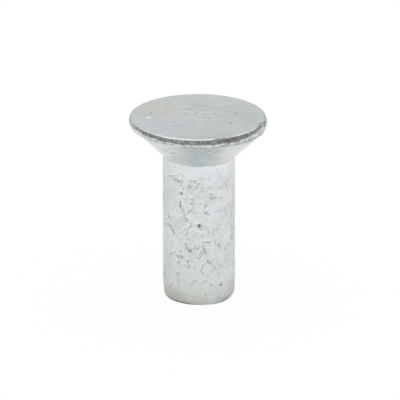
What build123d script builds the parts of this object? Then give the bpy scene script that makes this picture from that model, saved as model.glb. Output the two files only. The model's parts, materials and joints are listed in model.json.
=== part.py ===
"""Solid rivet with a flat 90 degree countersunk head, cold headed from round wire and zinc plated.

One forging. It stands on its tail end: the origin is the centre of the tail face, +Z runs up
the shank to the flat of the head. Millimetres and degrees.
"""

import os
from math import radians, tan

from build123d import *

# Sizes that the rivet is ordered by
shank_diameter = 6.1       # 6 mm wire, with its plating and heading swell
overall_length = 16.0      # tail face to the flat of the head
head_diameter = 11.82      # sharp lower corner of the rim, before it is rounded
countersink_angle = 90.0   # included angle of the cone under the head

# Rim of the head. It is upset in the open, so it stands a little off the shank's axis and
# the band between the flat and the cone is a wedge: narrow at -X, deep at +X.
narrow_land = 0.32         # height of the band at its narrowest
rim_lean = 12.0            # the band leans outwards on its way down
rim_offset = 0.11          # rim's axis, towards -X
cone_offset = 0.09         # cone's axis, towards +X: the heading die sits that far off
rim_edge_radius = 0.10     # between the flat and the band
rim_corner_radius = 0.25   # between the band and the cone

# Neck and tail
neck_radius = 0.7          # root of the cone on the shank
tail_taper_depth = 0.24    # how far the tail is drawn in, on the radius
tail_taper_length = 0.97
tail_edge_radius = 0.2

# Worked out from the sizes above
shank_radius = shank_diameter / 2
rim_radius = head_diameter / 2
cone_slope = tan(radians(countersink_angle / 2))   # radius gained for each mm up the cone
band_slope = tan(radians(rim_lean))                # radius gained for each mm down the band
land_swing = (rim_offset + cone_offset) / (cone_slope + band_slope)
mean_land = narrow_land + land_swing
corner_height = overall_length - mean_land
neck_height = corner_height - (rim_radius - shank_radius) / cone_slope
top_radius = rim_radius - mean_land * band_slope
tail_radius = shank_radius - tail_taper_depth


def fitted_radius(wanted, wall, turn):
    """The wanted blend radius, or less where its run along the wall would be longer than the wall."""
    return min(wanted, wall / tan(radians(turn / 2)))


def round_edges(solid):
    """Every edge of a turned body apart from the straight seams, from the lowest up."""
    return solid.edges().filter_by(GeomType.LINE, reverse=True).sort_by(Axis.Z)


def shank_body():
    """The wire from the tail face up into the head, drawn in and rounded at the tail."""
    with BuildPart() as body:
        with BuildSketch(Plane.XZ):
            with BuildLine():
                Polyline(
                    (0, 0),
                    (tail_radius, 0),
                    (shank_radius, tail_taper_length),
                    (shank_radius, corner_height),
                    (0, corner_height),
                    close=True,
                )
            make_face()
        revolve(axis=Axis.Z)
        fillet(round_edges(body)[0], tail_edge_radius)
    return body.part


def head_cone():
    """The countersink, on the heading die's axis. It starts inside the shank and runs past the rim."""
    start_radius = shank_radius - 2 * cone_offset
    start_height = neck_height - 2 * cone_offset / cone_slope
    height = overall_length - start_height
    cone = Cone(
        start_radius,
        start_radius + height * cone_slope,
        height,
        align=(Align.CENTER, Align.CENTER, Align.MIN),
    )
    return Pos(cone_offset, 0, start_height) * cone


def rim_blank(depth):
    """The upset disc, on its own axis, as deep as the cone that it trims."""
    disc = Cone(
        top_radius + depth * band_slope,
        top_radius,
        depth,
        align=(Align.CENTER, Align.CENTER, Align.MAX),
    )
    return Pos(-rim_offset, 0, overall_length) * disc


def head_body():
    """Cone trimmed by the disc, with the two corners of its wedge-shaped band rounded."""
    cone = head_cone()
    head = cone & rim_blank(overall_length)
    corner_turn = countersink_angle / 2 + rim_lean
    edge_turn = 90 - rim_lean
    corner = fitted_radius(rim_corner_radius, 0.55 * narrow_land, corner_turn)
    edge = fitted_radius(rim_edge_radius, 0.4 * narrow_land, edge_turn)
    head = fillet(round_edges(head)[1:-1], corner)
    return fillet(round_edges(head)[-1], edge)


def rivet():
    """Shank and head as one piece, blended where the cone grows out of the shank."""
    body = shank_body() + head_body()
    neck = [
        edge
        for edge in round_edges(body)
        if abs(edge.center().Z - neck_height) < mean_land
    ]
    return fillet(neck, neck_radius)


if __name__ == "__main__":
    os.makedirs("parts", exist_ok=True)
    export_step(rivet(), "parts/rivet.step")
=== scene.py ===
import json
import math
import random

import bpy
import numpy as np
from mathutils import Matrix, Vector, noise


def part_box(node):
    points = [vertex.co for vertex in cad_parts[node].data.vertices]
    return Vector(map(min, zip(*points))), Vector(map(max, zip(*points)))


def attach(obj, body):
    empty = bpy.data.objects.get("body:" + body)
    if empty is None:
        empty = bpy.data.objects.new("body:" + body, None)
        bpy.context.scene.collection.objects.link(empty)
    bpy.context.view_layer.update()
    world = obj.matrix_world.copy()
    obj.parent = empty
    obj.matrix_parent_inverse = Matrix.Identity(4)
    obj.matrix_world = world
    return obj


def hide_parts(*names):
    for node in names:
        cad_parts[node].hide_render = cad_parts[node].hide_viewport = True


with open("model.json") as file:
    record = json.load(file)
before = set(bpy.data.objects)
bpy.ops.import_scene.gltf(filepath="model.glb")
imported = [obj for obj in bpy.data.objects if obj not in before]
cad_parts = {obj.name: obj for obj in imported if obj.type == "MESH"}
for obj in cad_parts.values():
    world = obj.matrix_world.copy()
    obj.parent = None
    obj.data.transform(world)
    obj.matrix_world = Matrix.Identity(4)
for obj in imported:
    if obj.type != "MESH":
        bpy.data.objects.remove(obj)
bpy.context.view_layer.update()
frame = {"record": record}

perMetre = 1000.0    # the rivet is modelled at 1 unit to the millimetre, then scaled into the frame

flatHeight = (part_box("rivet")[1] * perMetre).z
shankMount = next(m for m in frame["record"]["mounts"] if m["name"] == "shank")
shankRadius = shankMount["dims"]["r_mm"]
print("frame: rivet", round(flatHeight, 2), "mm long, shank radius", shankRadius)


def leaveEditMode():
    if bpy.context.object and bpy.context.object.mode != "OBJECT":
        bpy.ops.object.mode_set(mode="OBJECT")


def onlyThis(piece):
    leaveEditMode()
    bpy.ops.object.select_all(action="DESELECT")
    piece.select_set(True)
    bpy.context.view_layer.objects.active = piece


def pointsOf(piece):
    values = np.empty(len(piece.data.vertices) * 3, np.float32)
    piece.data.vertices.foreach_get("co", values)
    return values.reshape(-1, 3).astype(float)


def selectEdges(piece, wanted):
    # wanted is one True or False an edge
    onlyThis(piece)
    mesh = piece.data
    mesh.vertices.foreach_set("select", np.zeros(len(mesh.vertices), bool))
    mesh.polygons.foreach_set("select", np.zeros(len(mesh.polygons), bool))
    mesh.edges.foreach_set("select", np.asarray(wanted, bool))
    bpy.ops.object.mode_set(mode="EDIT")
    bpy.ops.mesh.select_mode(type="EDGE")


# the head was upset a little off the shank, so the -X and +X sides differ
# each corner is (radius, height, blend radius), from the tail face up to the flat
rivet = {
    "segments": 320,
    "blendSteps": 5,
    "left": {
        "tail": (2.92, 0.0, 0.46),
        "taper": (shankRadius, 1.5, 1.2),
        "neck": (shankRadius, 12.89, 0.8),
        "rim": (5.64, 15.38, 0.10),
        "lip": (5.84, 15.42, 0.05),
        "ridge": (5.91, 15.56, 0.05),
        "flat": (5.85, flatHeight, 0.12),
    },
    "right": {
        "tail": (2.73, 0.0, 0.15),
        "taper": (shankRadius, 0.52, 0.8),
        "neck": (shankRadius, 12.74, 0.25),
        "rim": (5.625, 15.09, 0.20),
        "lip": (5.68, 15.17, 0.06),
        "ridge": (5.77, 15.56, 0.07),
        "flat": (5.64, flatHeight, 0.12),
    },
    # how much lower a corner runs in front, and as much higher behind
    "dropInFront": {"neck": 0.28, "rim": 0.05, "lip": 0.05, "ridge": 0.05, "flat": 0.05},
    "capRadius": 0.12,
}

# where the rows of the mesh are cut closer: between which radii and heights, and how far apart
neckHeight, rimHeight = rivet["left"]["neck"][1], rivet["right"]["rim"][1]
closerRows = [
    {"radius": (0, 9), "height": (2, 12), "apart": 0.07},    # shank
    {"radius": (0, 9), "height": (neckHeight, rimHeight), "apart": 0.126},    # cone
    {"radius": (2.8, 9), "height": (-1, 2), "apart": 0.07},    # tail
    {"radius": (5.5, 9), "height": (rimHeight, 17), "apart": 0.045},    # rim
    {"radius": (0, 5.5), "height": (rimHeight, 17), "apart": 0.07},    # flat
    {"radius": (0, 1.3), "height": (rimHeight, 17), "apart": 0.0399},    # middle of the flat
    {"radius": (0, 2.6), "height": (-1, 0.1), "apart": 0.28},    # tail face
]


def blendCorner(before, corner, after, radius, steps):
    # points of the arc that rounds a corner of a profile
    corner = Vector(corner)
    back = (Vector(before) - corner).normalized()
    ahead = (Vector(after) - corner).normalized()
    inside = back.angle(ahead)
    reach = radius / math.tan(inside / 2)
    start, end = corner + back * reach, corner + ahead * reach
    centre = corner + (back + ahead).normalized() * (radius / math.sin(inside / 2))
    turn = math.pi - inside
    points = []
    for step in range(steps + 1):
        share = step / steps
        first = math.sin((1 - share) * turn) / math.sin(turn)
        second = math.sin(share * turn) / math.sin(turn)
        points.append(centre + (start - centre) * first + (end - centre) * second)
    return points


def sideProfile(side, steps):
    corners = list(side.values())
    path = [(0.0, 0.0)] + [c[:2] for c in corners] + [(0.0, flatHeight)]
    points = []
    for i, corner in enumerate(corners):
        points += blendCorner(path[i], path[i + 1], path[i + 2], corner[2], steps)
    return points


def ringThrough(leftPoint, rightPoint, drop):
    # centre, radius, tilt and nod of the circle that passes through one point of each side
    width = leftPoint.x + rightPoint.x
    rise = rightPoint.y - leftPoint.y
    centre = Vector(((rightPoint.x - leftPoint.x) / 2, 0, (leftPoint.y + rightPoint.y) / 2))
    radius = math.hypot(width, rise) / 2
    return centre, radius, math.atan2(rise, width), -math.atan2(drop, radius)


def extrudeRings(rings, segments):
    centre, radius, tilt, nod = rings[0]
    bpy.ops.mesh.primitive_circle_add(vertices=segments, radius=radius, location=centre)
    piece = bpy.context.object
    bpy.ops.object.transform_apply(location=True)
    bpy.ops.object.mode_set(mode="EDIT")
    bpy.ops.mesh.select_mode(type="EDGE")
    bpy.ops.mesh.select_all(action="SELECT")
    bpy.ops.transform.rotate(value=tilt, orient_axis="Y", center_override=centre)
    for nextCentre, nextRadius, nextTilt, nextNod in rings[1:]:
        move = nextCentre - centre
        bpy.ops.mesh.extrude_edges_move(TRANSFORM_OT_translate={"value": move})
        grow = nextRadius / radius
        bpy.ops.transform.resize(value=(grow, grow, grow), center_override=nextCentre)
        for turn, axis in ((nextTilt - tilt, "Y"), (nextNod - nod, "X")):
            if abs(turn) > 1e-6:
                bpy.ops.transform.rotate(value=turn, orient_axis=axis, center_override=nextCentre)
        centre, radius, tilt, nod = nextCentre, nextRadius, nextTilt, nextNod
    return piece


def capOpenRing(centre, radius, capRadius):
    # the open ring is drawn in to a small one, which is closed with a fan
    shrink = capRadius / radius
    bpy.ops.mesh.extrude_edges_move()
    bpy.ops.transform.resize(value=(shrink, shrink, shrink), center_override=centre)
    bpy.ops.mesh.edge_face_add()
    bpy.ops.mesh.poke()


def cutRows(piece, band):
    # cuts the edges that run up a band, so that its rows lie about as far apart as the band says
    mesh = piece.data
    ends = np.empty(len(mesh.edges) * 2, np.int32)
    mesh.edges.foreach_get("vertices", ends)
    ends = ends.reshape(-1, 2)
    points = pointsOf(piece)
    along = points[ends[:, 1]] - points[ends[:, 0]]
    middle = (points[ends[:, 1]] + points[ends[:, 0]]) / 2
    length = np.linalg.norm(along, axis=1)
    spread = np.hypot(middle[:, 0], middle[:, 1])
    girthwise = np.abs(along[:, 1] * middle[:, 0] - along[:, 0] * middle[:, 1]) / (length * spread + 1e-9)
    wanted = (girthwise < 0.5) & (length > 1.6 * band["apart"])    # edges that run round are left alone
    for place, (start, end) in ((spread, band["radius"]), (middle[:, 2], band["height"])):
        wanted &= (place > start) & (place < end)
    if wanted.any():
        cuts = max(int(round(length[wanted].mean() / band["apart"])) - 1, 1)
        selectEdges(piece, wanted)
        bpy.ops.mesh.subdivide(number_cuts=cuts)
        leaveEditMode()


def makeRivetBlank():
    steps = rivet["blendSteps"]
    leftSide = sideProfile(rivet["left"], steps)
    rightSide = sideProfile(rivet["right"], steps)
    drops = [rivet["dropInFront"].get(corner, 0) for corner in rivet["left"] for _ in range(steps + 1)]
    rings = [ringThrough(*ring) for ring in zip(leftSide, rightSide, drops)]
    bpy.ops.object.select_all(action="DESELECT")
    piece = extrudeRings(rings, rivet["segments"])
    piece.name = "rivet_forging"
    capOpenRing(rings[-1][0], rings[-1][1], rivet["capRadius"])
    bpy.ops.mesh.select_all(action="DESELECT")
    bpy.ops.mesh.select_non_manifold()
    capOpenRing(rings[0][0], rings[0][1], rivet["capRadius"])
    leaveEditMode()

    for band in closerRows:
        cutRows(piece, band)
    onlyThis(piece)
    bpy.ops.object.mode_set(mode="EDIT")
    bpy.ops.mesh.select_all(action="SELECT")
    bpy.ops.mesh.normals_make_consistent(inside=False)
    leaveEditMode()
    print("rivet blank:", len(piece.data.vertices), "points")
    return piece


rivetPiece = makeRivetBlank()


# the band of bare metal round the rim
# a slope is an amount everywhere, and steps that come in towards -X and +X: how much, from where, to where
bareBand = {
    "foot": {"left": [(0.10, 0.5, 1.0)], "right": [(0.05, 0.4, 1.0)]},    # above the ridge
    # where its foot runs higher or lower: degrees round, reach, rise
    "wander": ((-72, 8, 0.06), (-58, 9, 0.11), (-41, 5, 0.10), (-26, 7, 0.09), (3, 8, -0.04),
               (32, 8, -0.03), (49, 7, 0.09)),
    "fringe": (0.3, 0.05),    # size, height
    # only in front is the flat's edge bright; elsewhere the band reaches over it
    "overFlat": {"left": [(0.05, 0.45, 0.6), (0.04, 0.78, 0.9)],
                 "right": [(0.03, 0.23, 0.31), (0.05, 0.75, 0.85)]},
    "tongue": (19, 5, 0.17),    # degrees round, reach, how far over the flat
    "softness": 0.03,
    # by degrees round: barest to each side of the front, and plated over by the nick at +X
    "bareness": {"everywhere": 0.84, "left": [(0.16, 30, 42)], "right": [(0.08, 12, 25)]},
    "dimmerLeft": (0.40, -84, -50),    # how bare at least, from where, to where
    "platedRight": {"amount": 0.6, "from": (46, 64), "less": (0.3, 72, 76)},
    "bareUnderFlat": {"depth": (0.16, 0.26), "until": (66, 72)},
    "behind": (0.8, 90, 110),
}

# painted shade towards the tail's foot, with an olive tint
tail = {
    "shadingFoot": 0.2,
    "shadingTop": (1.9, 0.8),    # height in front, and how much higher at the sides
    "shading": {"everywhere": 0.25, "left": [(0.84, 0, 0.75)], "right": [(-0.17, 0, 0.2), (0.75, 0.4, 0.95)]},
    # the bottom edge is dark: painted shade of its contact with the floor, over the edge's own darker rim,
    # the most at -X and the least in front
    "edge": {"everywhere": 0.10, "left": [(0.24, -0.1, 0.55), (0.10, 0.65, 0.9)],
             "right": [(0.12, 0.3, 0.9)]},
    "edgeTone": {"everywhere": 0.15, "left": [(0.85, 0.0, 0.3)], "right": [(0.8, 0.2, 0.5)]},
    "edgeRadius": (2.3, 2.6),
}

# over which heights one zone gives way to the next
fades = {
    "tailFace": (0.02, 0.3),
    "shankTop": (12.4, 12.9),
    "coneFoot": (12.8, 13.1),
    "coneTop": (-0.15, 0),    # from the rim
    "stripFoot": (-0.12, 0.02),    # from the rim
    "stripTop": (-0.06, 0),    # from the ridge
    "bandFoot": (-0.05, 0.03),    # from the bare band's foot
    "bandTop": (-0.10, -0.02),    # from the flat
    "flat": (-0.05, -0.01),    # from the flat
    "rimRadius": (5.2, 5.4),
}


def eased(values, start, end):
    share = np.clip((values - start) / (end - start), 0, 1)
    return share * share * (3 - 2 * share)


def atLeast(least, share):
    return least + (1 - least) * share


def hill(values, centre, reach):
    return np.exp(-((values - centre) / reach) ** 2)


def sloped(slope, across):
    total = slope.get("everywhere", 0)
    for side, away in (("left", -across), ("right", across)):
        for amount, start, end in slope.get(side, ()):
            total = total + amount * eased(away, start, end)
    return total


def noiseAt(points, size, layer=0):
    # each layer is another noise
    placed = points / size + np.array([31.7, 11.3, 5.9]) * layer
    return np.array([noise.noise(p) for p in placed.tolist()])


def zonesOf(points):
    # where each point lies, and how far it belongs to each part of the rivet's surface, 0 to 1
    height = points[:, 2]
    spread = np.hypot(points[:, 0], points[:, 1])
    across = points[:, 0] / np.maximum(spread, 1e-6)
    forward = -points[:, 1] / np.maximum(spread, 1e-6)
    around = np.degrees(np.arctan2(points[:, 0], -points[:, 1]))

    def leaned(corner, value):
        # a corner's radius (0) or height (1) round the head, which leans from -X to +X
        left, right = rivet["left"][corner][value], rivet["right"][corner][value]
        return (left + right) / 2 + (right - left) / 2 * across

    ridge, lip, rim = [leaned(corner, 1) - rivet["dropInFront"][corner] * forward
                       for corner in ("ridge", "lip", "rim")]
    top = flatHeight - rivet["dropInFront"]["flat"] * forward * spread / rivet["right"]["flat"][0]

    bandFoot = ridge + sloped(bareBand["foot"], across)
    for degrees, reach, rise in bareBand["wander"]:
        bandFoot = bandFoot + rise * hill(around, degrees, reach)
    size, tall = bareBand["fringe"]
    bandFoot = bandFoot + tall * noiseAt(points, size, 34)
    degrees, reach, far = bareBand["tongue"]
    over = sloped(bareBand["overFlat"], across) + far * hill(around, degrees, reach)
    soft = bareBand["softness"]
    bareTop = eased(spread - leaned("flat", 0) + over, -soft, soft) * eased(over, 0, 0.02)
    bareTop = np.maximum(bareTop, 1 - eased(height - top, *fades["bandTop"]))

    shadingTop = tail["shadingTop"][0] + tail["shadingTop"][1] * np.abs(across)
    underRidge = 1 - eased(height - ridge, *fades["stripTop"])
    onRim = eased(spread, *fades["rimRadius"])
    return {
        "height": height,
        "spread": spread,
        "across": across,
        "forward": forward,
        "round": around,
        "aboveLip": height - lip,
        "underFlat": top - height,
        "tailFace": 1 - eased(height, *fades["tailFace"]),
        "tail": (1 - eased(height, tail["shadingFoot"], shadingTop)) * sloped(tail["shading"], across),
        "shank": (1 - eased(height, *fades["shankTop"])) * eased(height, *fades["tailFace"]),
        "cone": eased(height, *fades["coneFoot"]) * (1 - eased(height - rim, *fades["coneTop"])),
        "strip": eased(height - rim, *fades["stripFoot"]) * underRidge * onRim,
        "band": eased(height - bandFoot, *fades["bandFoot"]) * bareTop * onRim,
        "flat": eased(height - top, *fades["flat"]),
        "onRim": onRim,
    }


# marks left by heading, shearing and tumbling: each is its path, half its breadth, and how deep it goes
# on the shank and cone a place is (degrees round from -Y towards +X, height); on the flat it is (x, y)
# a negative depth stands up
shankMarks = [
    ([(-3.5, 7.42), (0, 7.38), (3.5, 7.42)], 0.045, 0.08),
    ([(-0.5, 7.38), (1.5, 7.4)], 0.075, 0.20),
    ([(-30, 10.22), (-28, 10.1)], 0.065, 0.13),
    ([(-32, 9.6), (-31, 9.0), (-27, 8.7), (-25, 8.4), (-22, 8.0), (-17, 7.8)], 0.05, 0.085),
    ([(-17, 7.8), (-11, 7.35), (-17, 7.1), (-19, 6.6)], 0.045, 0.06),
    ([(-60, 11.3), (-48, 11.45), (-35, 11.55)], 0.06, 0.05),
    ([(-52, 11.3), (-40, 11.22), (-32, 11.2), (-26, 11.1)], 0.06, 0.05),
    ([(-30, 11.9), (-26, 11.82)], 0.05, 0.05),
    ([(-18, 11.35), (-8, 11.3), (0, 11.3)], 0.04, 0.035),
    ([(-3, 11.12), (4, 11.08)], 0.05, 0.06),
    ([(-17, 10.95), (-15, 10.8)], 0.09, 0.05),
    ([(2, 10.8), (9, 10.5)], 0.045, 0.04),
    ([(-25, 9.7), (-20, 9.5)], 0.05, 0.05),
    ([(-14, 9.4), (-8, 9.3), (-13, 8.85)], 0.05, 0.05),
    ([(8, 9.3), (13, 9.2), (9, 8.95)], 0.05, 0.05),
    ([(-8, 8.55), (0, 8.5), (14, 8.5)], 0.042, 0.06),
    ([(9, 8.5), (13, 8.52)], 0.05, 0.07),
    ([(24, 8.5), (29, 8.45)], 0.05, 0.05),
    ([(33, 8.55), (37, 8.45)], 0.05, 0.05),
    ([(47, 8.5)], 0.08, 0.06),
    ([(17, 9.8), (30, 9.75), (38, 9.65), (39, 9.4)], 0.045, 0.05),
    ([(48, 10.75), (50, 10.45)], 0.07, 0.07),
    ([(54, 11.4), (53, 10.8)], 0.06, 0.04),
    ([(-66, 7.3), (-56, 7.6)], 0.08, 0.05),
    ([(-60, 7.0), (-52, 6.9), (-47, 6.65), (-42, 6.3)], 0.065, 0.08),
    ([(20, 6.8), (23, 6.5), (22, 6.2)], 0.05, 0.05),
    ([(-28, 6.05)], 0.12, 0.04),
    ([(-23, 5.65), (-18, 5.3), (-16, 5.1), (-13, 5.1)], 0.06, 0.09),
    ([(18, 5.85), (6, 5.9), (5, 5.5), (8, 5.2), (10, 4.95)], 0.05, 0.055),
    ([(7, 5.3), (9, 5.12)], 0.07, 0.09),
    ([(4, 5.05), (2, 4.8)], 0.055, 0.07),
    ([(26, 6.0), (28, 5.6), (33, 5.3), (38, 5.2)], 0.055, 0.09),
    ([(28, 5.9), (36, 5.85), (37, 5.5)], 0.045, 0.055),
    ([(32, 5.42), (37, 5.24)], 0.07, 0.11),
    ([(-50, 4.4), (-42, 4.65), (-36, 4.45), (-26, 4.52)], 0.05, 0.07),
    ([(-35, 3.95), (-34, 3.85)], 0.07, 0.10),
    ([(-18, 4.15), (-16, 3.75)], 0.065, 0.06),
    ([(-16, 3.7)], 0.10, 0.08),
    ([(10, 4.5)], 0.055, 0.05),
    ([(14, 4.2), (15, 4.08)], 0.065, 0.09),
    ([(19, 4.0), (20, 3.9)], 0.06, 0.09),
    ([(6, 3.8), (4, 3.4)], 0.055, 0.06),
    ([(-37, 2.8)], 0.08, 0.08),
    ([(-50, 1.66)], 0.06, 0.07),
    ([(-4, 2.4), (-9, 2.3), (-13, 2.05)], 0.05, 0.05),
    ([(21, 2.65), (24, 2.5)], 0.055, 0.05),
    ([(-50, 1.68), (-58, 1.2)], 0.06, 0.05),
    ([(38, 1.95), (39, 1.85)], 0.15, 0.05),
    ([(10, 1.15), (11, 0.9)], 0.07, 0.04),
    ([(1, 12.68), (14, 12.68)], 0.05, 0.16),
    ([(-21, 12.4), (-8, 12.33)], 0.045, 0.05),
    ([(28, 12.27), (31, 12.22)], 0.055, 0.06),
    ([(-46, 12.45), (-40, 12.4)], 0.05, 0.05),
]

coneRadius = 4.3
coneMarks = [
    ([(-30, 14.12), (-25, 14.08)], 0.05, 0.06),
    ([(-34, 13.62), (-29, 13.58)], 0.05, 0.06),
    ([(-36, 13.28), (-31, 13.26)], 0.05, 0.05),
    ([(-41, 12.97), (-36, 12.93)], 0.05, 0.06),
    ([(-39, 14.36), (-33, 14.42)], 0.06, 0.05),
    ([(-44, 14.05), (-40, 14.0)], 0.05, 0.04),
    ([(8, 14.70), (12, 14.62)], 0.05, 0.06),
    ([(12, 14.42), (16, 14.38)], 0.05, 0.05),
    ([(7, 14.25), (10, 14.2)], 0.05, 0.05),
]

flatMarks = [
    ([(-4.5, 0.05), (-3.3, 0.0)], 0.10, 0.012),
    ([(-4.28, -0.15), (-4.12, -0.18)], 0.12, -0.047),
    ([(-4.0, 1.3), (-4.05, 0.5)], 0.09, 0.03),
    ([(-2.45, -0.4), (-2.3, -0.8)], 0.10, -0.022),
    ([(-1.15, 0.6), (-1.22, 0.95), (-1.1, 1.25), (-0.96, 0.95), (-1.02, 0.6)], 0.07, 0.03),
    ([(-0.45, 0.7), (-0.5, 1.0), (-0.36, 1.2), (-0.22, 0.95), (-0.32, 0.7)], 0.07, 0.025),
    ([(0.1, 0.85), (0.9, 0.8), (1.6, 0.7)], 0.10, 0.014),
    ([(-1.68, -1.95)], 0.13, 0.04),
    ([(-1.45, 2.75), (-0.75, 2.7)], 0.10, -0.025),
    ([(0.1, 2.9), (0.4, 2.8)], 0.14, 0.025),
    ([(1.55, 2.6)], 0.14, 0.035),
    ([(1.7, 2.8), (2.2, 3.4), (3.0, 3.7)], 0.14, -0.012),
    ([(3.0, 1.1), (3.2, 0.8)], 0.13, 0.03),
    ([(2.6, -1.3), (2.8, -1.7)], 0.11, 0.035),
]

# a nick where the flat meets the rim band
rimNick = [
    ([(5.14, -2.25), (5.15, -1.90), (5.17, -1.58)], 0.08, 0.045),
    ([(5.17, -1.56), (5.38, -1.42), (5.62, -1.33)], 0.08, 0.05),
]

# the rest of the relief, in mm: the size of a noise is how coarse it is
relief = {
    "seed": 7,
    "wobble": (0.28, 0.06),    # marks wander: size, reach
    "ragged": {"size": 0.25, "middle": 0.9, "swing": 0.8, "limits": (0.4, 1.2)},    # and break up
    "placedRaggedness": 0.5,    # the placed marks less so
    "lumps": ((2.0, 0.012), (0.85, 0.010), (0.40, 0.010)),
    "smoothLumps": 0.3,
    "flatLumps": 0.12,
    "creases": (0.9, 0.08, 0.040),    # size, line width, depth
    "crackle": (0.42, 0.16, 0.030),
    "creasePatch": 1.5,
    "creaseWarp": (0.45, 0.30),    # size, reach
    "smoothCreases": 0.15,
    "pits": {"size": 0.19, "above": (0.50, 0.75), "depth": 0.06},
    "roughTop": {"size": 1.3, "swing": 1.2, "height": (10.9, 11.8)},    # the shank is smooth near the neck
    "roughFoot": (0.35, 1.0, 2.4),    # and near the tail: how rough at least, from where, to where
    "squiggles": {"count": 140, "reach": 0.22, "width": (0.035, 0.05), "depth": (0.015, 0.055)},
    # degrees round, height and the spread of each
    "squigglePlaces": ((-5, 10.2, 14, 0.8), (6, 5.0, 18, 0.9), (-22, 7.6, 13, 1.0), (20, 7.6, 16, 1.2),
                       (-16, 3.5, 16, 0.5), (-42, 11.3, 10, 0.3)),
    "lipShift": (0.08, -0.13),    # a raised lip stands to one side of each mark, with a painted glint on it
    "dragLines": {"degrees": 5.0, "length": 4.0, "height": 0.012, "from": (20, 40)},    # only towards +X
    "dieRings": ((0.45, 0.010), (0.2, 0.006)),
    "ringStretch": (1, 0.2, 0.2),    # up, then along X and Y, so that they are drawn out round the cone
    "rimGrit": {"layers": ((0.42, 0.020), (0.2, 0.018)), "behind": 0.45},
    "burr": (0.5, 3.5),    # the strip under the band is torn towards +X: from where, to where
    "ridgeWander": (1.1, 0.06),    # size, reach
    # the seam's height above the lip at -X and +X, then its breadth and the dirt in it
    "seam": {"above": (0.10, 0.02), "width": 0.05, "depth": 0.02, "darkening": 0.65},
    "seamBreaks": {"size": 0.4, "middle": 0.8, "swing": 0.9, "least": 0.5},
    "flatDents": 150,
    "dentMiddle": ((0.1, 1.9), (0.3, 1.8)),    # where along X and Y most of them lie, and the spread
    "dentReach": (0.18, 0.22),    # along X and Y
    "dentWidth": (0.05, 0.09),
    "dentDepth": (-0.013, 0.024),
    "flatMarksDown": 0.3,    # marks on the flat reach no lower than this
    # the shears cut the tail's front edge a little high: how much, then where it begins and ends
    "tailCut": {"height": 0.03, "radius": (2.0, 2.7), "up": (0.3, 0.9), "front": (0.3, 0.9),
                "side": (0.3, 0.5)},
}


def distanceToPath(around, up, path):
    nearest = np.full(len(around), 1e9)
    stops = path if len(path) > 1 else path * 2
    here = np.stack([around, up], axis=1)
    for start, end in zip(stops, stops[1:]):
        start, end = np.array(start, float), np.array(end, float)
        run = end - start
        share = np.clip(((here - start) @ run) / max(run @ run, 1e-9), 0, 1)[:, None]
        nearest = np.minimum(nearest, np.linalg.norm(here - start - share * run, axis=1))
    return nearest


def sunkBy(marks, around, up, ragged):
    depth = np.zeros(len(around))
    for path, width, deep in marks:
        shape = deep * hill(distanceToPath(around, up, path), 0, width)
        depth = np.where(np.abs(shape) > np.abs(depth), shape, depth)    # the deepest mark wins
    return depth * ragged


def roundGirth(marks, radius):
    # degrees round become mm round the girth
    return [([(math.radians(a) * radius, h) for a, h in path], width, deep) for path, width, deep in marks]


def squigglesOnShank(draw):
    # short curls of crinkled plating, in mm round the girth and up
    looks, curls = relief["squiggles"], []
    reach = looks["reach"]
    for _ in range(looks["count"]):
        degrees, height, spreadRound, spreadUp = draw.choice(relief["squigglePlaces"])
        start = math.radians(draw.gauss(degrees, spreadRound)) * shankRadius
        path = [(start, draw.gauss(height, spreadUp))]
        for _ in range(2):
            around, up = path[-1]
            path.append((around + draw.uniform(-1, 1) * reach, up + draw.uniform(-1, 1) * reach))
        curls.append((path, draw.uniform(*looks["width"]), draw.uniform(*looks["depth"])))
    return curls


def dentsOnFlat(draw):
    # tumbling leaves most of its dents near the middle of the flat
    dents = []
    (middleX, spreadX), (middleY, spreadY) = relief["dentMiddle"]
    reachX, reachY = relief["dentReach"]
    for _ in range(relief["flatDents"]):
        x, y = draw.gauss(middleX, spreadX), draw.gauss(middleY, spreadY)
        end = (x + draw.uniform(-1, 1) * reachX, y + draw.uniform(-1, 1) * reachY)
        dents.append(([(x, y), end], draw.uniform(*relief["dentWidth"]), draw.uniform(*relief["dentDepth"])))
    return dents


def creaseDepth(points):
    # thin lines where a noise passes through zero, and a finer crackle, kept only in some patches
    patch = eased(noiseAt(points, relief["creasePatch"], 3), -0.2, 0.3)
    size, reach = relief["creaseWarp"]
    bent = points + reach * np.stack([noiseAt(points, size, layer) for layer in (26, 27, 28)], axis=1)
    size, width, deep = relief["creases"]
    depth = deep * np.clip(1 - np.abs(noiseAt(bent, size, 4)) / width, 0, 1) * patch
    size, width, deep = relief["crackle"]
    nearest = [noise.voronoi(p)[0] for p in (bent / size).tolist()]
    gap = np.array([distances[1] - distances[0] for distances in nearest])
    patch = eased(noiseAt(points, relief["creasePatch"], 31), -0.1, 0.35)
    return depth + deep * np.clip(1 - gap / width, 0, 1) * patch


def layeredNoise(points, layers, first):
    return sum(tall * 2 * noiseAt(points, size, first + i) for i, (size, tall) in enumerate(layers))


def setWeights(piece, groupName, values):
    group = piece.vertex_groups.new(name=groupName)
    for index in np.nonzero(values > 0.001)[0]:
        group.add([int(index)], float(values[index]), "REPLACE")


def setAttribute(piece, name, values):
    layer = piece.data.attributes.new(name, "FLOAT", "POINT")
    layer.data.foreach_set("value", np.asarray(values, np.float32))


def pushSurface(piece, groupName, heights):
    # one Displace, in or out along the normals, weighted by height
    most = np.abs(heights).max()
    setWeights(piece, groupName, np.abs(heights) / most)
    onlyThis(piece)
    push = piece.modifiers.new(groupName, "DISPLACE")
    push.direction = "NORMAL"
    push.mid_level = 0
    push.strength = most if heights.max() > 0 else -most
    push.vertex_group = groupName
    bpy.ops.object.modifier_apply(modifier=push.name)


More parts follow.
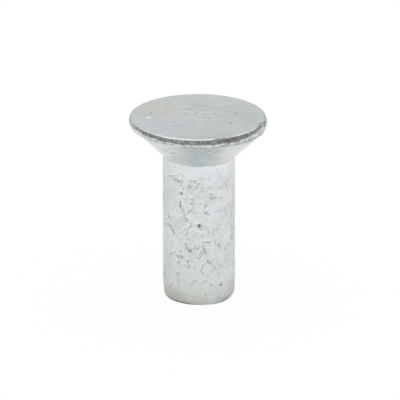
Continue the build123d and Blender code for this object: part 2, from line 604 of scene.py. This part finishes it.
def allMarks(points, zone, ragged, draw):
    # how deep the placed and random marks go, how deep they go to one side, and the nick alone
    size, reach = relief["wobble"]
    wobble = [reach * noiseAt(points, size, layer) for layer in (1, 2)]
    placed, curls = roundGirth(shankMarks, shankRadius), squigglesOnShank(draw)

    def marksOnShank(around, up):
        lessRagged = atLeast(relief["placedRaggedness"], ragged)
        return np.maximum(sunkBy(placed, around, up, lessRagged), sunkBy(curls, around, up, ragged))

    around, up = np.radians(zone["round"]) * shankRadius + wobble[0], zone["height"] + wobble[1]
    aside, above = relief["lipShift"]
    marked = zone["shank"] * marksOnShank(around, up)
    beside = zone["shank"] * marksOnShank(around + aside, up + above)
    around = np.radians(zone["round"]) * coneRadius
    marked += zone["cone"] * sunkBy(roundGirth(coneMarks, coneRadius), around, zone["height"], ragged)

    x, y = points[:, 0] + wobble[0], points[:, 1] + wobble[1]
    nearFlat = zone["height"] > flatHeight - relief["flatMarksDown"]
    onFlat = (zone["band"] + zone["flat"]).clip(0, 1) * nearFlat
    nicked = onFlat * sunkBy(rimNick, x, y, 1)
    marked += onFlat * sunkBy(flatMarks + dentsOnFlat(draw), x, y, 1) + nicked
    return marked, beside, nicked


def crinkles(points, zone, ragged):
    # how rough the shank is, its creases and pits, and the drag lines up its side
    top, foot, pits, drag = relief["roughTop"], relief["roughFoot"], relief["pits"], relief["dragLines"]
    wandering = zone["height"] + top["swing"] * noiseAt(points, top["size"], 9)
    rough = zone["shank"] * (1 - eased(wandering, *top["height"]))
    aboveTail = atLeast(foot[0], eased(zone["height"], *foot[1:]))
    creasedShare = relief["smoothCreases"] * zone["shank"] + (1 - relief["smoothCreases"]) * rough
    creased = creasedShare * creaseDepth(points) * ragged * aboveTail
    pitted = eased(noiseAt(points, pits["size"], 10), *pits["above"]) * pits["depth"] * rough * aboveTail
    around, up = zone["round"] / drag["degrees"], zone["height"] / drag["length"]
    streak = noiseAt(np.stack([around, up, up * 0], axis=1), 1, 11)
    dragged = drag["height"] * streak * zone["shank"] * eased(zone["round"], *drag["from"])
    return rough, creased, pitted, dragged


def skinOf(points, zone, rough, torn):
    # lumps all over, the die's rings on the cone, and grit on the rim
    lumpy = atLeast(relief["smoothLumps"], rough) * (1 - zone["flat"]) + relief["flatLumps"] * zone["flat"]
    skin = layeredNoise(points, relief["lumps"], 12) * (1 - zone["tailFace"]) * lumpy
    drawnOut = points[:, [2, 0, 1]] * relief["ringStretch"]
    skin += layeredNoise(drawnOut, relief["dieRings"], 24) * zone["cone"]
    grit = relief["rimGrit"]
    gritty = zone["band"] * atLeast(grit["behind"], eased(zone["forward"], -0.3, 0.2)) + torn
    return skin + layeredNoise(points, grit["layers"], 16) * gritty


def seamLine(points, zone):
    # where the seam runs above the lip, broken up along its length and only in front
    seam, breaks = relief["seam"], relief["seamBreaks"]
    size, reach = relief["ridgeWander"]
    above = np.interp(zone["across"], (-1, 1), seam["above"]) + reach * noiseAt(points, size, 19)
    broken = breaks["middle"] + breaks["swing"] * noiseAt(points, breaks["size"], 35)
    line = hill(zone["aboveLip"], above, seam["width"]) * zone["onRim"] * np.clip(broken, breaks["least"], 1)
    return line * eased(zone["forward"], -0.2, 0.2)


def cutByShears(zone):
    cut = relief["tailCut"]
    edge = eased(zone["spread"], *cut["radius"]) * (1 - eased(zone["height"], *cut["up"]))
    inFront = eased(zone["forward"], *cut["front"]) * (1 - eased(zone["across"], *cut["side"]))
    return cut["height"] * edge * inFront


# how strongly the wear, the darker hollows and the painted glints show in the plating
wear = {
    "blackFrom": (0.10, 0.16),    # the shank's pits turn black over these depths
    "raggedBlack": 0.7,
    "neckLine": {"height": 12.74, "reach": 0.06, "patch": 0.5, "amount": 0.35},
    "clean": (0.010, 0.004),    # how deep a mark stays undarkened on the shank and on the flat
    "darkeningDepth": (0.085, 0.035),    # how soon it darkens below that, on each
    "lipGlintHeight": 0.05,    # a lip this high carries the full painted glint
    "greyStrip": {"size": 0.3, "middle": 0.16, "swing": 0.5, "left": (0.18, 0.2, 0.6)},
    "burred": {"size": 0.16, "middle": 0.34, "swing": 0.4},
    "nick": 0.05,    # a nick this deep is bare
}


def blackOf(zone, ragged, marked):
    # painted shade of the contact with the floor along the tail's bottom edge, over its own darker rim, and
    # the deepest pits in the shank
    edge = sloped(tail["edge"], zone["across"])
    edgeShade = (1 - eased(zone["height"], 0.25 * edge, edge)) * eased(zone["spread"], *tail["edgeRadius"])
    edgeShade *= sloped(tail["edgeTone"], zone["across"])
    deepest = eased(marked * zone["shank"], *wear["blackFrom"])
    return np.maximum(edgeShade * atLeast(wear["raggedBlack"], ragged), deepest)


def hollowDarkeningOf(points, zone, hollow, line):
    # darker in the hollows, the deeper the darker, in the seam, and here and there along the neck
    clean, deep = [start + (end - start) * zone["flat"] for start, end in (wear["clean"], wear["darkeningDepth"])]
    darkening = 1 - np.exp(-(hollow - clean).clip(0, None) / deep)
    neck = wear["neckLine"]
    inNeck = hill(zone["height"], neck["height"], neck["reach"])
    inNeck *= eased(noiseAt(points, neck["patch"], 30), 0, 0.3)
    return np.maximum.reduce([darkening, relief["seam"]["darkening"] * line, neck["amount"] * inNeck]).clip(0, 1)


def bareOf(points, zone, torn, nicked):
    # how bare the rim is of its plating
    around, plated, kept = zone["round"], bareBand["platedRight"], bareBand["bareUnderFlat"]
    least, start, end = bareBand["dimmerLeft"]
    bare = sloped(bareBand["bareness"], around) * atLeast(least, eased(around, start, end))
    less, start, end = plated["less"]
    plating = eased(around, *plated["from"]) * (1 - less * eased(around, start, end))
    under = (1 - eased(zone["underFlat"], *kept["depth"])) * (1 - eased(around, *kept["until"]))
    bare *= 1 - plated["amount"] * plating * (1 - under)
    amount, start, end = bareBand["behind"]
    bare = np.maximum(bare, amount * eased(np.abs(around), start, end))

    grey, burred = wear["greyStrip"], wear["burred"]
    amount, start, end = grey["left"]
    greyed = grey["middle"] + grey["swing"] * noiseAt(points, grey["size"], 32)
    greyed = zone["strip"] * (greyed + amount * eased(-zone["across"], start, end)).clip(0, 1)
    burr = burred["middle"] + burred["swing"] * noiseAt(points, burred["size"], 33)
    return np.clip(zone["band"] * bare + torn * burr.clip(0, 1) + greyed + nicked / wear["nick"], 0, 1)


def weather(piece):
    points = pointsOf(piece)
    zone = zonesOf(points)
    looks = relief["ragged"]
    ragged = np.clip(looks["middle"] + looks["swing"] * noiseAt(points, looks["size"], 8), *looks["limits"])
    torn = zone["strip"] * eased(points[:, 0], *relief["burr"])
    marked, beside, nicked = allMarks(points, zone, ragged, random.Random(relief["seed"]))
    rough, creased, pitted, dragged = crinkles(points, zone, ragged)
    line = seamLine(points, zone)

    heights = skinOf(points, zone, rough, torn) + dragged - marked - creased - pitted
    heights -= relief["seam"]["depth"] * line + cutByShears(zone)
    pushSurface(piece, "raised", heights.clip(0, None))
    pushSurface(piece, "sunk", heights.clip(None, 0))
    print("relief:", round(float(-heights.min()), 3), "mm deep,", round(float(heights.max()), 3), "mm proud")

    # the material reads these
    setAttribute(piece, "black", blackOf(zone, ragged, marked))
    setAttribute(piece, "pitting", hollowDarkeningOf(points, zone, marked + creased + pitted, line))
    # a painted glint on the raised lip beside each mark
    setAttribute(piece, "lipGlint", np.clip((beside - marked) / wear["lipGlintHeight"], 0, 1))
    setAttribute(piece, "rimBand", bareOf(points, zone, torn, nicked))
    setAttribute(piece, "crinkled", rough)
    setAttribute(piece, "coneLines", zone["cone"])
    # painted shade towards the tail's foot
    setAttribute(piece, "tailShading", zone["tail"])


weather(rivetPiece)

onlyThis(rivetPiece)
bpy.ops.transform.resize(value=(1 / perMetre,) * 3, center_override=(0, 0, 0))
bpy.ops.object.transform_apply(location=True, rotation=True, scale=True)
bpy.ops.object.shade_smooth()
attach(rivetPiece, "root")
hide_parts("rivet")


zinc = {
    "clear": (0.745, 0.80, 0.81),
    "lavender": (0.71, 0.75, 0.82),
    "green": (0.62, 0.715, 0.645),
    "dusky": (0.66, 0.70, 0.665),
    "beige": (0.775, 0.77, 0.725),
    "neutral": (0.765, 0.77, 0.765),
    "olive": (0.72, 0.74, 0.68),
    # a pinkish tint, light enough to paint a sheen on the cone's sides
    "pinkishSheen": (0.95, 0.925, 0.935),
    # a dark tint for patches on the flat, and painted shade on the cone under the rim and down the shank
    "darkTintAndShade": (0.58, 0.61, 0.62),
    # painted glint
    "lipGlint": (0.93, 0.96, 0.96),
    # olive painted shade on the tail
    "tail": (0.50, 0.505, 0.46),
    "black": (0.05, 0.055, 0.05),
    # painted highlight
    "paintedHighlight": (0.82, 0.89, 0.905),
    "brown": (0.42, 0.34, 0.27),
    "pit": (0.16, 0.18, 0.165),
    "rim": (0.33, 0.34, 0.32),
    "rimDark": (0.07, 0.075, 0.07),
    "edgeTint": (0.84, 0.85, 0.85),
    "roughness": (0.27, 0.36),
    "rimRoughness": 0.38,
    "darkenedMetallic": 0.35,
    "rimDirt": 0.8,
    "rimPlating": 0.6,    # how much the plating still tints the bare rim
    "washWander": (1.4, 0.5),    # size, reach
    # how much of each colour covers what is under it
    "share": {"beige": 0.35, "lipGlint": 0.6, "tail": 0.9, "pit": 0.86, "black": 0.9, "rim": 0.88},
    # how far each pattern lightens and darkens the plating
    "patchTones": (0.95, 1.05),
    "mottleTones": (0.93, 1.05),
    "speckleTones": (0.98, 1.02),
    "turningTones": (0.90, 1.0),
    "crinkledTone": 0.92,
    "smoothMottle": 0.35,    # how much of that shows where the shank is smooth
    "fringe": 0.55,
    # how many of each pattern there are to the millimetre, one number or one each way
    "cloud": 0.9,
    "mottle": 4.5,
    "speckle": 16,
    "fringes": 8,
    "drawn": (1.5, 1.5, 0.9),    # patches, longer up the shank
    "turned": (0.35, 0.35, 7),    # lines round the head from the heading die
    "torn": (6, 6, 3),    # grit on the bare rim, longer up and down
    "grain": 0.000012,
    "grainStrength": 0.6,
    "dieLines": 0.00004,
}

# where the chromate on the plating dried to another tint, where painted shade and painted highlights lie,
# and a darker front edge of the flat: place, reach each way and how strongly
tintsAndPaintedLight = [
    ((-3.4, 2.2, 16), (2.4, 2.6, 1), "beige", 0.8),
    ((-1.8, -2.6, 16), (2.2, 1.8, 1), "lavender", 0.8),
    ((0.3, 3.2, 16), (1.4, 1.4, 1), "lavender", 0.5),
    ((-3.6, -1.8, 16), (1.2, 1.2, 1), "lavender", 0.6),
    ((-0.6, 2.4, 16), (0.6, 0.9, 1), "green", 0.8),
    ((0.9, 2.4, 16), (0.5, 0.9, 1), "lavender", 0.7),
    ((-4.8, 1.0, 16), (0.6, 1.0, 1), "green", 0.5),
    # dark tint patches on the flat
    ((1.0, -3.2, 16), (0.35, 0.6, 1), "darkTintAndShade", 0.35),
    ((0.4, 0.3, 16), (0.9, 0.5, 1), "darkTintAndShade", 0.25),
    ((3.6, -0.6, 16), (2.2, 3.2, 1), "green", 0.9),
    ((4.3, 2.6, 16), (1.2, 1.0, 1), "beige", 0.6),
    # darker along the front edge of the flat
    ((0.9, -5.0, 16), (3.0, 1.3, 0.4), "dusky", 0.9),
    ((-3.1, -0.4, 8), (0.9, 1.5, 9), "neutral", 0.9),
    ((3.1, -0.4, 8), (0.9, 1.5, 9), "neutral", 0.9),
    ((2.5, -5.2, 15.55), (0.45, 0.8, 0.24), "brown", 0.6),
    # pinkish tint with a painted sheen on the cone's sides
    ((-3.8, -2.4, 14.0), (1.2, 1.9, 1.4), "pinkishSheen", 0.8),
    ((3.5, -2.6, 14.0), (1.5, 1.9, 1.5), "pinkishSheen", 1.0),
    # painted shade on the cone just under the rim
    ((-1.4, -5.0, 14.8), (1.0, 1.5, 0.35), "darkTintAndShade", 0.55),
    ((1.4, -5.0, 14.8), (0.7, 1.5, 0.3), "darkTintAndShade", 0.4),
    # painted highlights at the foot of the cone, and painted sheen on the cone's sides
    ((1.4, -3.0, 12.95), (1.3, 1.2, 0.35), "paintedHighlight", 1.0),
    ((2.9, -2.1, 13.3), (0.9, 1.2, 0.7), "pinkishSheen", 0.8),
    ((-2.2, -2.3, 13.05), (0.9, 1.2, 0.45), "paintedHighlight", 0.9),
    ((2.2, -2.5, 13.0), (0.8, 1.2, 0.4), "pinkishSheen", 0.8),
    ((-3.3, -2.0, 13.6), (0.7, 1.2, 0.45), "pinkishSheen", 0.6),
    ((-0.4, -2.9, 1.0), (2.2, 1.2, 1.2), "olive", 0.8),
    ((0.5, -3.0, 11.9), (0.9, 1, 0.6), "lavender", 0.5),
    # painted shade down the shank's sides, the most at -X
    ((-2.6, -1.5, 11.5), (0.8, 1.5, 1.6), "darkTintAndShade", 0.72),
    ((-2.5, -1.6, 2.8), (0.7, 1.5, 1.2), "darkTintAndShade", 0.35),
    ((2.7, -1.4, 11.8), (0.9, 1.5, 1.0), "darkTintAndShade", 0.35),
    ((-2.3, -2.0, 6.5), (0.8, 1.5, 4.5), "darkTintAndShade", 0.22),
    # painted highlight down the middle of the shank's front
    ((0.1, -3.0, 7.0), (0.9, 1.2, 4.0), "paintedHighlight", 0.4),
    ((-2.3, -2.0, 9.6), (0.5, 1, 0.9), "green", 0.35),
    ((2.2, -2.1, 4.3), (0.5, 1, 0.4), "green", 0.35),
    ((-2.0, -2.2, 3.9), (0.8, 1, 0.9), "olive", 0.5),
    ((1.2, -2.8, 6.3), (0.6, 1, 0.6), "olive", 0.5),
    ((2.5, -1.7, 10.4), (0.5, 1, 1.0), "olive", 0.4),
    ((-1.8, -2.4, 11.2), (0.9, 1, 0.5), "olive", 0.4),
]


# the plating's tints, with painted shade and painted highlights among them
def plateColoursAndPaintedLight(piece):
    points = pointsOf(piece) * perMetre
    size, reach = zinc["washWander"]
    wandering = points + reach * np.stack([noiseAt(points, size, layer) for layer in (20, 21, 22)], axis=1)
    colour = np.tile(np.array(zinc["clear"]), (len(points), 1))
    for place, reach, tint, most in tintsAndPaintedLight:
        away = np.linalg.norm((wandering - np.array(place)) / np.array(reach), axis=1)
        amount = (most * hill(away, 0, 1))[:, None]
        colour = colour * (1 - amount) + np.array(zinc[tint]) * amount
    layer = piece.data.attributes.new("plating", "FLOAT_COLOR", "POINT")
    layer.data.foreach_set("color", np.column_stack([colour, np.ones(len(points))]).ravel())


def addNode(tree, kind, **settings):
    node = tree.nodes.new("ShaderNode" + kind)
    for name, value in settings.items():
        setattr(node, name, value)
    return node


def noiseNode(tree, vector, scale, detail, roughness=0.6):
    node = addNode(tree, "TexNoise")
    node.inputs["Scale"].default_value = scale
    node.inputs["Detail"].default_value = detail
    node.inputs["Roughness"].default_value = roughness
    tree.links.new(vector, node.inputs["Vector"])
    return node.outputs["Fac"]


def cellNode(tree, vector, scale):
    # one random level for each cell, with soft edges
    node = addNode(tree, "TexVoronoi", feature="SMOOTH_F1")
    node.inputs["Scale"].default_value = scale
    node.inputs["Smoothness"].default_value = 0.35
    tree.links.new(vector, node.inputs["Vector"])
    split = addNode(tree, "SeparateColor")
    tree.links.new(node.outputs["Color"], split.inputs["Color"])
    return split.outputs["Red"]


def rangeNode(tree, value, source, target):
    node = addNode(tree, "MapRange")
    ends = ("From Min", "From Max", "To Min", "To Max")
    for end, number in zip(ends, source + target):
        node.inputs[end].default_value = number
    tree.links.new(value, node.inputs["Value"])
    return node.outputs["Result"]


def mathNode(tree, operation, first, second):
    node = addNode(tree, "Math", operation=operation)
    for socket, value in zip(node.inputs, (first, second)):
        if isinstance(value, (int, float)):
            socket.default_value = value
        else:
            tree.links.new(value, socket)
    return node.outputs[0]


def mixNumber(tree, factor, first, second):
    node = addNode(tree, "Mix", data_type="FLOAT")
    for name, value in (("Factor", factor), ("A", first), ("B", second)):
        if isinstance(value, (int, float)):
            node.inputs[name].default_value = value
        else:
            tree.links.new(value, node.inputs[name])
    return node.outputs["Result"]


def mixColour(tree, factor, first, second, blend="MIX"):
    node = addNode(tree, "Mix", data_type="RGBA", blend_type=blend)
    for name, value in (("Factor", factor), ("A", first), ("B", second)):
        if isinstance(value, tuple):
            node.inputs[name].default_value = (*value, 1)
        elif isinstance(value, (int, float)):
            node.inputs[name].default_value = value
        else:
            tree.links.new(value, node.inputs[name])
    return node.outputs["Result"]


def attribute(tree, name, kind="Fac"):
    return addNode(tree, "Attribute", attribute_name=name).outputs[kind]


def placeNode(tree, perMillimetre):
    # the piece's own coordinates, with so many of a pattern to the millimetre each way
    place = addNode(tree, "TexCoord")
    node = addNode(tree, "Mapping")
    node.inputs["Scale"].default_value = [perMetre * number for number in perMillimetre]
    tree.links.new(place.outputs["Object"], node.inputs["Vector"])
    return node.outputs["Vector"]


def fringed(tree, amount, fringe):
    # moves a share up or down by the fringe, the most where it is half and not at all at 0 and 1
    room = mathNode(tree, "MULTIPLY", amount, mathNode(tree, "SUBTRACT", 1, amount))
    moved = mathNode(tree, "MULTIPLY", mathNode(tree, "MULTIPLY", room, 4), fringe)
    return rangeNode(tree, mathNode(tree, "ADD", amount, moved), (0, 1), (0, 1))


def coverWith(tree, under, amount, name):
    # a colour of the zinc over what is under it
    return mixColour(tree, mathNode(tree, "MULTIPLY", amount, zinc["share"][name]), under, zinc[name])


def plateTone(tree, mottle, speckle, turning, crinkled, coneLines):
    # how much lighter or darker than its colour the plating is
    patches = cellNode(tree, placeNode(tree, zinc["drawn"]), 1.0)
    blotchy = mathNode(tree, "MULTIPLY", rangeNode(tree, patches, (0.0, 1.0), zinc["patchTones"]),
                       rangeNode(tree, mottle, (0.3, 0.7), zinc["mottleTones"]))
    blotchy = mathNode(tree, "MULTIPLY", blotchy, rangeNode(tree, speckle, (0.3, 0.7), zinc["speckleTones"]))
    tone = mixNumber(tree, rangeNode(tree, crinkled, (0, 1), (zinc["smoothMottle"], 1)), 1, blotchy)
    tone = mathNode(tree, "MULTIPLY", tone, rangeNode(tree, crinkled, (0, 1), (1, zinc["crinkledTone"])))
    streaky = rangeNode(tree, turning, (0.35, 0.65), zinc["turningTones"])
    return mathNode(tree, "MULTIPLY", tone, mixNumber(tree, coneLines, 1, streaky))


def rimColour(tree, plating):
    grit = noiseNode(tree, placeNode(tree, zinc["torn"]), 1, 3)
    bare = mixColour(tree, rangeNode(tree, grit, (0.38, 0.62), (0, 1)), zinc["rimDark"], zinc["rim"])
    return mixColour(tree, zinc["rimPlating"], bare, plating, "MULTIPLY")


def addGrain(tree, shader, grain, turning, coneLines):
    # grain of the plating, and the turning lines of the heading die
    fine = addNode(tree, "Bump")
    fine.inputs["Distance"].default_value = zinc["grain"]
    fine.inputs["Strength"].default_value = zinc["grainStrength"]
    tree.links.new(grain, fine.inputs["Height"])
    lines = addNode(tree, "Bump")
    lines.inputs["Distance"].default_value = zinc["dieLines"]
    tree.links.new(coneLines, lines.inputs["Strength"])
    tree.links.new(turning, lines.inputs["Height"])
    tree.links.new(fine.outputs["Normal"], lines.inputs["Normal"])
    tree.links.new(lines.outputs["Normal"], shader.inputs["Normal"])


def makeZinc():
    material = bpy.data.materials.new("zinc_plate")
    material.use_nodes = True
    tree = material.node_tree
    links = tree.links
    shader = tree.nodes["Principled BSDF"]
    shader.inputs["Specular Tint"].default_value = (*zinc["edgeTint"], 1)

    spot = placeNode(tree, (1, 1, 1))
    cloud = noiseNode(tree, spot, zinc["cloud"], 3)
    mottle = noiseNode(tree, spot, zinc["mottle"], 4)
    speckle = noiseNode(tree, spot, zinc["speckle"], 2)
    turning = noiseNode(tree, placeNode(tree, zinc["turned"]), 1, 3)
    # the plating's colour, with its painted shade and painted highlights
    plating = attribute(tree, "plating", "Color")
    crinkled = attribute(tree, "crinkled")
    coneLines = attribute(tree, "coneLines")
    black = attribute(tree, "black")
    # the darker hollows and the bare metal end in a fine ragged fringe
    far = zinc["fringe"]
    fringe = rangeNode(tree, noiseNode(tree, spot, zinc["fringes"], 2), (0.3, 0.7), (-far, far))
    pitting = fringed(tree, attribute(tree, "pitting"), fringe)
    rimBand = fringed(tree, attribute(tree, "rimBand"), fringe)

    # chromate tints with painted shade and painted highlights, cloudiness, a painted glint on the lips and
    # painted shade on the tail, then darker hollows and a bare dark rim
    colour = coverWith(tree, plating, rangeNode(tree, cloud, (0.35, 0.65), (0, 1)), "beige")
    tone = plateTone(tree, mottle, speckle, turning, crinkled, coneLines)
    colour = mixColour(tree, 1.0, colour, tone, "MULTIPLY")
    colour = coverWith(tree, colour, attribute(tree, "lipGlint"), "lipGlint")
    colour = coverWith(tree, colour, attribute(tree, "tailShading"), "tail")
    colour = coverWith(tree, colour, pitting, "pit")
    colour = coverWith(tree, colour, black, "black")
    bareShare = mathNode(tree, "MULTIPLY", rimBand, zinc["share"]["rim"])
    links.new(mixColour(tree, bareShare, colour, rimColour(tree, plating)), shader.inputs["Base Color"])

    darkened = mathNode(tree, "MAXIMUM", pitting, mathNode(tree, "MULTIPLY", rimBand, zinc["rimDirt"]))
    darkened = mathNode(tree, "MAXIMUM", darkened, black)
    links.new(rangeNode(tree, darkened, (0, 1), (1, zinc["darkenedMetallic"])), shader.inputs["Metallic"])
    plain = rangeNode(tree, mottle, (0.3, 0.7), zinc["roughness"])
    links.new(mixNumber(tree, rimBand, plain, zinc["rimRoughness"]), shader.inputs["Roughness"])
    addGrain(tree, shader, mathNode(tree, "ADD", speckle, mottle), turning, coneLines)
    return material


plateColoursAndPaintedLight(rivetPiece)
rivetPiece.data.materials.append(makeZinc())
print("zinc plate on the rivet")


floorLook = {"size": 1.2, "colour": 0.95, "cameraShare": 0.93, "glossyShare": 0.25}

# how light the room is: the wall is behind the rivet, and the dark front is where the camera stands
studio = {"horizon": 0.95, "wall": 0.61, "front": 0.03, "overhead": 1.57, "above": 0.92}
studioTurn = 0.3    # how far to each side of the middle the wall and the dark front run into each other
# where each begins and ends, as the sine of its elevation
studioBehind = [(0, "horizon"), (0.08, "wall"), (0.45, "wall"), (0.72, "overhead"), (0.88, "overhead"),
                (0.97, "above")]
studioBefore = [(0, "horizon"), (0.03, "horizon"), (0.10, "front"), (0.40, "front"), (0.68, "overhead"),
                (0.88, "overhead"), (0.97, "above")]


def addFloor():
    bpy.ops.object.select_all(action="DESELECT")
    bpy.ops.mesh.primitive_plane_add(size=floorLook["size"], location=(0, 0, 0))
    floor = bpy.context.object
    floor.name = "floor"
    material = bpy.data.materials.new("white_floor")
    material.use_nodes = True
    tree = material.node_tree
    tree.nodes.clear()
    links = tree.links
    output = addNode(tree, "OutputMaterial")
    matt = addNode(tree, "BsdfDiffuse")
    matt.inputs["Color"].default_value = (floorLook["colour"],) * 3 + (1,)
    glow = addNode(tree, "Emission")
    mix = addNode(tree, "MixShader")
    path = addNode(tree, "LightPath")
    toCamera = mathNode(tree, "MULTIPLY", path.outputs["Is Camera Ray"], floorLook["cameraShare"])
    toMetal = mathNode(tree, "MULTIPLY", path.outputs["Is Glossy Ray"], floorLook["glossyShare"])
    links.new(mathNode(tree, "ADD", toCamera, toMetal), mix.inputs[0])
    links.new(matt.outputs[0], mix.inputs[1])
    links.new(glow.outputs[0], mix.inputs[2])
    links.new(mix.outputs[0], output.inputs["Surface"])
    floor.data.materials.append(material)


def addRamp(tree, height, stops):
    node = addNode(tree, "ValToRGB")
    ramp = node.color_ramp
    ramp.interpolation = "EASE"
    while len(ramp.elements) < len(stops):
        ramp.elements.new(0.5)
    for element, (sine, name) in zip(ramp.elements, stops):
        element.position = sine
        element.color = (studio[name],) * 3 + (1,)
    tree.links.new(height, node.inputs[0])
    return node.outputs["Color"]


def addStudio():
    world = bpy.data.worlds.new("studio")
    bpy.context.scene.world = world
    world.use_nodes = True
    tree = world.node_tree
    tree.nodes.clear()
    links = tree.links
    output = addNode(tree, "OutputWorld")
    room = addNode(tree, "Background")
    white = addNode(tree, "Background")
    white.inputs["Color"].default_value = (1, 1, 1, 1)
    pick = addNode(tree, "MixShader")
    path = addNode(tree, "LightPath")
    place = addNode(tree, "TexCoord")
    split = addNode(tree, "SeparateXYZ")
    links.new(place.outputs["Generated"], split.inputs[0])
    behind = addRamp(tree, split.outputs["Z"], studioBehind)
    before = addRamp(tree, split.outputs["Z"], studioBefore)
    towards = addNode(tree, "MapRange", interpolation_type="SMOOTHSTEP")
    towards.inputs["From Min"].default_value = -studioTurn
    towards.inputs["From Max"].default_value = studioTurn
    links.new(split.outputs["Y"], towards.inputs["Value"])
    links.new(mixColour(tree, towards.outputs["Result"], before, behind), room.inputs["Color"])
    links.new(path.outputs["Is Camera Ray"], pick.inputs[0])
    links.new(room.outputs[0], pick.inputs[1])
    links.new(white.outputs[0], pick.inputs[2])
    links.new(pick.outputs[0], output.inputs["Surface"])


view = {
    "elevation": 20.0,
    "distance": 0.6,
    "frameWidth": 0.03384,
    "aim": (0.000095, 0.0, 0.00853),
    "sensor": 36,
    "clip": (0.01, 10),
}


def addCamera():
    rise = math.radians(view["elevation"])
    aim = Vector(view["aim"])
    back = Vector((0, -math.cos(rise), math.sin(rise)))
    bpy.ops.object.camera_add(location=aim + back * view["distance"])
    camera = bpy.context.object
    camera.name = "camera"
    camera.rotation_mode = "QUATERNION"
    camera.rotation_quaternion = (-back).to_track_quat("-Z", "Y")
    camera.data.sensor_width = view["sensor"]
    camera.data.lens = view["sensor"] * view["distance"] / view["frameWidth"]
    camera.data.clip_start, camera.data.clip_end = view["clip"]
    bpy.context.scene.camera = camera


addFloor()
addStudio()
addCamera()
bpy.context.scene.view_settings.view_transform = "Standard"
print("floor, studio and camera set")
